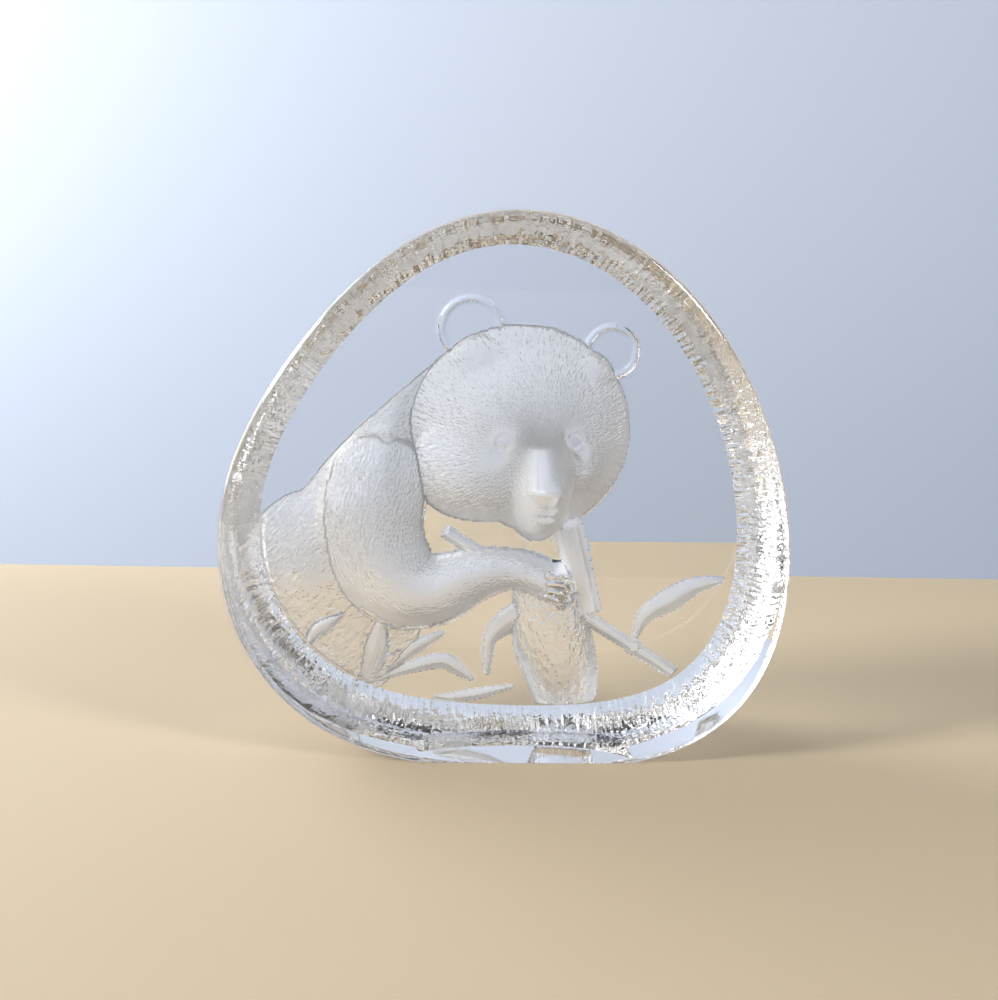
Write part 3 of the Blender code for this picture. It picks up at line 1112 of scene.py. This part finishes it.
    def assign_finishes(
        self, mesh: bpy.types.Mesh, faces: np.ndarray, quads: np.ndarray, relief: Relief
    ) -> None:
        """Gives each face its finish: the relief's own on the back, then by ring.

        Args:
            mesh: the block's mesh.
            faces: its four-sided faces, the back's first.
            quads: the back's faces.
            relief: the figure at the back's points.
        """
        finish = np.zeros(len(faces) + 1, dtype=np.int32)
        corners = relief.finish[quads]
        finish[: len(quads)] = np.max(corners, axis=1)
        ring = 4 * self.grid
        finish[len(quads) : len(quads) + ring * (self.shoulder_rings + 1)] = Finish.SHOULDER
        mesh.polygons.foreach_set("material_index", finish)
        smooth = np.ones(len(faces) + 1, dtype=bool)
        smooth[-1] = False
        mesh.polygons.foreach_set("use_smooth", smooth)

    def write_hair(
        self, mesh: bpy.types.Mesh, faces: np.ndarray, relief: Relief, points: np.ndarray
    ) -> None:
        """Writes the UV map, in tenths of a metre.

        It runs along and across the hair on the relief, and along the depth and around
        the outline on the shoulder and side.

        Args:
            mesh: the block's mesh.
            faces: its four-sided faces, the back's first.
            relief: the figure at the back's points.
            points: all the mesh's points.
        """
        quads = self.grid * self.grid
        corners = np.zeros((len(faces), 4, 2))
        corners[:quads, :, 0] = relief.along[faces[:quads]]
        corners[:quads, :, 1] = relief.across[faces[:quads]]
        walls = faces[quads:]
        ring = 4 * self.grid
        loop = points[walls[:ring, 3]]
        step = np.linalg.norm(np.roll(loop, -1, axis=0) - loop, axis=1) * 1000
        start = np.cumsum(step) - step
        column = np.arange(len(walls)) % ring
        corners[quads:, :, 0] = points[walls][:, :, 1] * 1000
        corners[quads:, 0, 1] = corners[quads:, 3, 1] = start[column]
        corners[quads:, 1, 1] = corners[quads:, 2, 1] = (start + step)[column]
        front = points[-ring:, [0, 2]] * 1000
        flat = np.concatenate([corners.ravel(), front.ravel()]) / 100
        mesh.uv_layers.new(name="hair").uv.foreach_set("vector", flat)

    def sharpen(self, mesh: bpy.types.Mesh, loops: list[np.ndarray]) -> None:
        """Marks the edge around the back face and the steep steps of the relief as sharp.

        Args:
            mesh: the block's mesh.
            loops: its rings of points, the back's edge first.
        """
        mesh.set_sharp_from_angle(angle=math.radians(40.0))
        ends = np.empty(len(mesh.edges) * 2, dtype=np.int32)
        mesh.edges.foreach_get("vertices", ends)
        on_edge = np.zeros(len(mesh.vertices), dtype=bool)
        on_edge[loops[0]] = True
        sharp = np.empty(len(mesh.edges), dtype=bool)
        mesh.attributes["sharp_edge"].data.foreach_get("value", sharp)
        sharp |= on_edge[ends].reshape(-1, 2).all(axis=1)
        mesh.attributes["sharp_edge"].data.foreach_set("value", sharp)


# Finishes


class Shader:
    """A material under construction, with short ways to add and join its nodes."""

    def __init__(self, name: str) -> None:
        """Starts an empty material with a Principled shader.

        Args:
            name: the material's name.
        """
        self.material = bpy.data.materials.new(name)
        self.material.use_nodes = True
        self.nodes = self.material.node_tree.nodes
        self.links = self.material.node_tree.links
        self.surface = self.nodes["Principled BSDF"]

    def set(self, **values: float | tuple[float, ...]) -> None:
        """Sets the shader's own sockets; underscores in a name stand for spaces."""
        for name, value in values.items():
            self.surface.inputs[name.replace("_", " ")].default_value = value

    def node(self, kind: str, **settings: object) -> bpy.types.Node:
        """Adds a node and sets its properties.

        Args:
            kind: the node's type.
            settings: its properties.

        Returns:
            The node.
        """
        made = self.nodes.new(kind)
        for name, value in settings.items():
            setattr(made, name, value)
        return made

    def join(self, source: bpy.types.NodeSocket, target: bpy.types.NodeSocket) -> None:
        """Links two sockets."""
        self.links.new(source, target)

    def noise(
        self, vector: bpy.types.NodeSocket, scale: float, detail: float
    ) -> bpy.types.NodeSocket:
        """Adds a noise texture on a vector.

        Args:
            vector: where it is read.
            scale: its size.
            detail: how many finer ones are added.

        Returns:
            The noise, from 0 to 1.
        """
        made = self.node("ShaderNodeTexNoise")
        made.inputs["Scale"].default_value = scale
        made.inputs["Detail"].default_value = detail
        self.join(vector, made.inputs["Vector"])
        return made.outputs["Fac"]

    def mapping(
        self, vector: bpy.types.NodeSocket, scale: tuple[float, float, float]
    ) -> bpy.types.NodeSocket:
        """Stretches a vector.

        Args:
            vector: what is stretched.
            scale: how much, along each axis.

        Returns:
            The stretched vector.
        """
        made = self.node("ShaderNodeMapping")
        made.inputs["Scale"].default_value = scale
        self.join(vector, made.inputs["Vector"])
        return made.outputs["Vector"]

    def times(
        self, first: bpy.types.NodeSocket, second: bpy.types.NodeSocket
    ) -> bpy.types.NodeSocket:
        """Multiplies two values.

        Args:
            first: one value.
            second: the other.

        Returns:
            Their product.
        """
        made = self.node("ShaderNodeMath", operation="MULTIPLY")
        self.join(first, made.inputs[0])
        self.join(second, made.inputs[1])
        return made.outputs["Value"]

    def mixed(
        self, first: bpy.types.NodeSocket, second: bpy.types.NodeSocket, share: float
    ) -> bpy.types.NodeSocket:
        """Mixes a share of the second value into the first.

        Args:
            first: one value.
            second: the other.
            share: how much of the second there is.

        Returns:
            The mix.
        """
        made = self.node("ShaderNodeMix")
        made.inputs["Factor"].default_value = share
        self.join(first, made.inputs["A"])
        self.join(second, made.inputs["B"])
        return made.outputs["Result"]

    def bump(self, height: bpy.types.NodeSocket, distance: float, strength: float) -> None:
        """Bends the surface's normal by a height.

        Args:
            height: the pattern of heights.
            distance: how high its 1 stands, in metres.
            strength: how much of the bend is used.
        """
        made = self.node("ShaderNodeBump")
        made.inputs["Distance"].default_value = distance
        made.inputs["Strength"].default_value = strength
        self.join(height, made.inputs["Height"])
        self.join(made.outputs["Normal"], self.surface.inputs["Normal"])

    def vary_roughness(
        self, source: bpy.types.NodeSocket, low: float, high: float, full: float = 1.0
    ) -> None:
        """Lets the roughness follow a pattern, up to its high value where that is full.

        Args:
            source: the pattern.
            low: the roughness where the pattern is 0.
            high: the roughness where it is full.
            full: the pattern's value there.
        """
        made = self.node("ShaderNodeMapRange")
        made.inputs["From Max"].default_value = full
        made.inputs["To Min"].default_value = low
        made.inputs["To Max"].default_value = high
        self.join(source, made.inputs["Value"])
        self.join(made.outputs["Result"], self.surface.inputs["Roughness"])


@dataclass(frozen=True)
class Crystal:
    """Clear lead crystal, which every finish of the block shares."""

    tint: tuple[float, float, float, float] = (0.985, 0.99, 1.0, 1.0)
    ior: float = 1.54

    def shader(self, name: str) -> Shader:
        """A see-through shader of this glass.

        Args:
            name: the material's name.

        Returns:
            The shader.
        """
        shader = Shader(name)
        shader.set(Base_Color=self.tint, IOR=self.ior, Transmission_Weight=1.0, Roughness=0.0)
        return shader


@dataclass(frozen=True)
class Polished(Crystal):
    """The fire-polished front, side and ground foot."""

    def material(self) -> bpy.types.Material:
        """Clear glass with the faintest haze of handling.

        Returns:
            The material.
        """
        shader = self.shader("polished_crystal")
        place = shader.node("ShaderNodeTexCoord").outputs["Object"]
        shader.vary_roughness(shader.noise(place, 60.0, 3.0), 0.0, 0.012)
        return shader.material


@dataclass(frozen=True)
class Hammered(Crystal):
    """The rough, rippled shoulder."""

    ripple: float = 0.0006
    grain_share: float = 0.18

    def material(self) -> bpy.types.Material:
        """Glass with ripples that run along the depth, over finer grains.

        Returns:
            The material.
        """
        shader = self.shader("hammered_crystal")
        side = shader.node("ShaderNodeUVMap", uv_map="hair").outputs["UV"]
        place = shader.node("ShaderNodeTexCoord").outputs["Object"]
        ripples = shader.noise(shader.mapping(side, (18.0, 75.0, 1.0)), 1.0, 1.0)
        grains = shader.noise(place, 650.0, 1.0)
        shader.bump(shader.mixed(ripples, grains, self.grain_share), self.ripple, 1.0)
        shader.vary_roughness(grains, 0.0, 0.05)
        return shader.material


@dataclass(frozen=True)
class Furred(Crystal):
    """The frosted fur.

    Its roughness is full from a coat of bare_coat up, so only the nose and eyes are clear.
    """

    roughness: tuple[float, float] = (0.24, 0.48)
    bare_coat: float = 0.08
    haze: float = 0.46
    stroke_height: float = 0.0006

    def material(self) -> bpy.types.Material:
        """Frosted glass with short strokes along the hair, which the coat fades out.

        Returns:
            The material.
        """
        shader = self.shader("furred_crystal")
        shader.set(Transmission_Weight=1.0 - self.haze)
        hair = shader.node("ShaderNodeUVMap", uv_map="hair").outputs["UV"]
        coat = shader.node("ShaderNodeAttribute", attribute_name="coat").outputs["Fac"]
        strokes = shader.noise(shader.mapping(hair, (75.0, 160.0, 1.0)), 1.0, 2.0)
        shader.bump(shader.times(strokes, coat), self.stroke_height, 1.0)
        shader.vary_roughness(coat, *self.roughness, self.bare_coat)
        return shader.material


@dataclass(frozen=True)
class Hide(Crystal):
    """The clearer, pebbled hide of the leg and the low back."""

    roughness: tuple[float, float] = (0.14, 0.50)
    haze: float = 0.20
    lump_height: float = 0.0008

    def material(self) -> bpy.types.Material:
        """Lightly frosted glass with short lumps, clearer where the coat thins out.

        Returns:
            The material.
        """
        shader = self.shader("hide_crystal")
        shader.set(Transmission_Weight=1.0 - self.haze)
        hair = shader.node("ShaderNodeUVMap", uv_map="hair").outputs["UV"]
        coat = shader.node("ShaderNodeAttribute", attribute_name="coat").outputs["Fac"]
        lumps = shader.noise(shader.mapping(hair, (45.0, 75.0, 1.0)), 1.0, 2.0)
        shader.bump(lumps, self.lump_height, 1.0)
        shader.vary_roughness(coat, *self.roughness)
        return shader.material


@dataclass(frozen=True)
class Leafy(Crystal):
    """The matt bamboo."""

    roughness: tuple[float, float] = (0.45, 0.6)
    haze: float = 0.5
    line_height: float = 0.0003

    def material(self) -> bpy.types.Material:
        """Evenly frosted glass with faint lines along each leaf and cane.

        Returns:
            The material.
        """
        shader = self.shader("bamboo_crystal")
        shader.set(Transmission_Weight=1.0 - self.haze)
        hair = shader.node("ShaderNodeUVMap", uv_map="hair").outputs["UV"]
        lines = shader.noise(shader.mapping(hair, (4.0, 160.0, 1.0)), 1.0, 2.0)
        shader.bump(lines, self.line_height, 0.35)
        shader.vary_roughness(lines, *self.roughness)
        return shader.material


# The studio


@dataclass(frozen=True)
class Studio:
    """The table, the wall behind it, the lights and the camera."""

    table_back: float = 0.182
    table_front: float = -0.22
    half_width: float = 0.6
    wall_y: float = 0.62
    wall_low: float = -0.4
    wall_high: float = 1.2
    wall_reach: float = 1.5
    gap: float = 0.0001
    table_colour: tuple[float, float, float, float] = (0.46, 0.37, 0.25, 1.0)
    wall_colour: tuple[float, float, float, float] = (0.60, 0.67, 0.80, 1.0)
    eye: tuple[float, float, float] = (-0.03036, -0.34779, 0.12718)
    aim: tuple[float, float, float] = (-0.00301, -0.022, 0.06658)
    roll: float = 2.0
    focal_pixels: float = 1386.0
    image_height: float = 1000.0

    def sheet(
        self, name: str, corners: list[tuple[float, float, float]], material: bpy.types.Material
    ) -> None:
        """A flat stage sheet from its four corners.

        Args:
            name: the sheet's name.
            corners: its corners in order.
            material: its paint.
        """
        mesh = bpy.data.meshes.new(name)
        mesh.from_pydata(corners, [], [(0, 1, 2, 3)])
        mesh.materials.append(material)
        sheet = bpy.data.objects.new(name, mesh)
        bpy.context.scene.collection.objects.link(sheet)

    def matt(self, name: str, colour: tuple[float, float, float, float]) -> bpy.types.Material:
        """A plain matt paint.

        Args:
            name: the paint's name.
            colour: its colour.

        Returns:
            The paint.
        """
        shader = Shader(name)
        shader.set(Base_Color=colour, Roughness=0.8)
        return shader.material

    def build_stage(self) -> None:
        """The table top, a hair's breadth under the block, and the wall well behind it."""
        wide, front, back, low = self.half_width, self.table_front, self.table_back, -self.gap
        table = [(-wide, front, low), (wide, front, low), (wide, back, low), (-wide, back, low)]
        self.sheet("table", table, self.matt("pale_birch", self.table_colour))
        wide, wall, low, high = self.wall_reach, self.wall_y, self.wall_low, self.wall_high
        sheet = [(-wide, wall, low), (wide, wall, low), (wide, wall, high), (-wide, wall, high)]
        self.sheet("wall", sheet, self.matt("pale_wall", self.wall_colour))

    def light(
        self,
        name: str,
        place: tuple[float, float, float],
        size: tuple[float, float],
        power: float,
        colour: tuple[float, float, float],
        aim: tuple[float, float, float] = (0.0, 0.0, 0.06),
    ) -> None:
        """A soft rectangular light that faces its aim.

        Args:
            name: the light's name.
            place: where it hangs.
            size: its width and height.
            power: in watts.
            colour: its colour.
            aim: the point that it faces.
        """
        data = bpy.data.lights.new(name, "AREA")
        data.shape = "RECTANGLE"
        data.size, data.size_y = size
        data.energy = power
        data.color = colour
        lamp = bpy.data.objects.new(name, data)
        lamp.location = place
        lamp.rotation_euler = (Vector(aim) - Vector(place)).to_track_quat("-Z", "Y").to_euler()
        lamp.visible_camera = False
        bpy.context.scene.collection.objects.link(lamp)

    def build_lights(self) -> None:
        """A window and a far key at the left, a soft sky above and a fill from the right."""
        self.light("window", (-0.62, 0.38, 0.34), (0.60, 0.60), 8.5, (0.96, 0.98, 1.0))
        self.light("key", (-2.40, -0.95, 1.35), (0.68, 0.68), 84.0, (1.0, 0.99, 0.98))
        self.light("sky", (-0.30, 0.10, 0.85), (0.6, 0.4), 1.2, (0.95, 0.97, 1.0))
        self.light("fill", (0.80, -0.70, 0.60), (0.3, 0.3), 8.5, (0.97, 0.98, 1.0))
        world = bpy.data.worlds.new("room")
        world.use_nodes = True
        background = world.node_tree.nodes["Background"]
        background.inputs["Color"].default_value = (0.36, 0.38, 0.44, 1.0)
        background.inputs["Strength"].default_value = 0.06
        bpy.context.scene.world = world

    def build_camera(self) -> None:
        """The camera: its axes from where it stands, what it faces and its roll."""
        eye, roll = Vector(self.eye), math.radians(self.roll)
        ahead = (Vector(self.aim) - eye).normalized()
        level = ahead.cross(Vector((0.0, 0.0, 1.0))).normalized()
        upright = level.cross(ahead)
        right = math.cos(roll) * level + math.sin(roll) * upright
        up = math.cos(roll) * upright - math.sin(roll) * level
        data = bpy.data.cameras.new("camera")
        data.sensor_width = 36.0
        data.lens = self.focal_pixels * data.sensor_width / self.image_height
        data.clip_start = 0.01
        camera = bpy.data.objects.new("camera", data)
        axes = Matrix((right, up, -ahead)).transposed()
        camera.matrix_world = Matrix.Translation(eye) @ axes.to_4x4()
        bpy.context.scene.collection.objects.link(camera)
        bpy.context.scene.camera = camera

    def set_light_paths(self) -> None:
        """Lets light bounce often enough to leave the glass, and sets the picture's tone."""
        scene = bpy.context.scene
        scene.cycles.max_bounces = 24
        scene.cycles.glossy_bounces = 16
        scene.cycles.transmission_bounces = 24
        scene.view_settings.view_transform = "Standard"


def main() -> None:
    """Builds the block, the stage, the lights and the camera."""
    logging.basicConfig(level=logging.INFO)
    block = Block(*CAD_BOX).build(Figure())
    for finish in (Polished(), Hammered(), Furred(), Leafy(), Hide()):
        block.data.materials.append(finish.material())
    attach(block, BODY)
    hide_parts(NODE)
    LOG.info("%s: %d faces", block.name, len(block.data.polygons))
    studio = Studio()
    studio.build_stage()
    studio.build_lights()
    studio.build_camera()
    studio.set_light_paths()


if __name__ == "__main__":
    main()
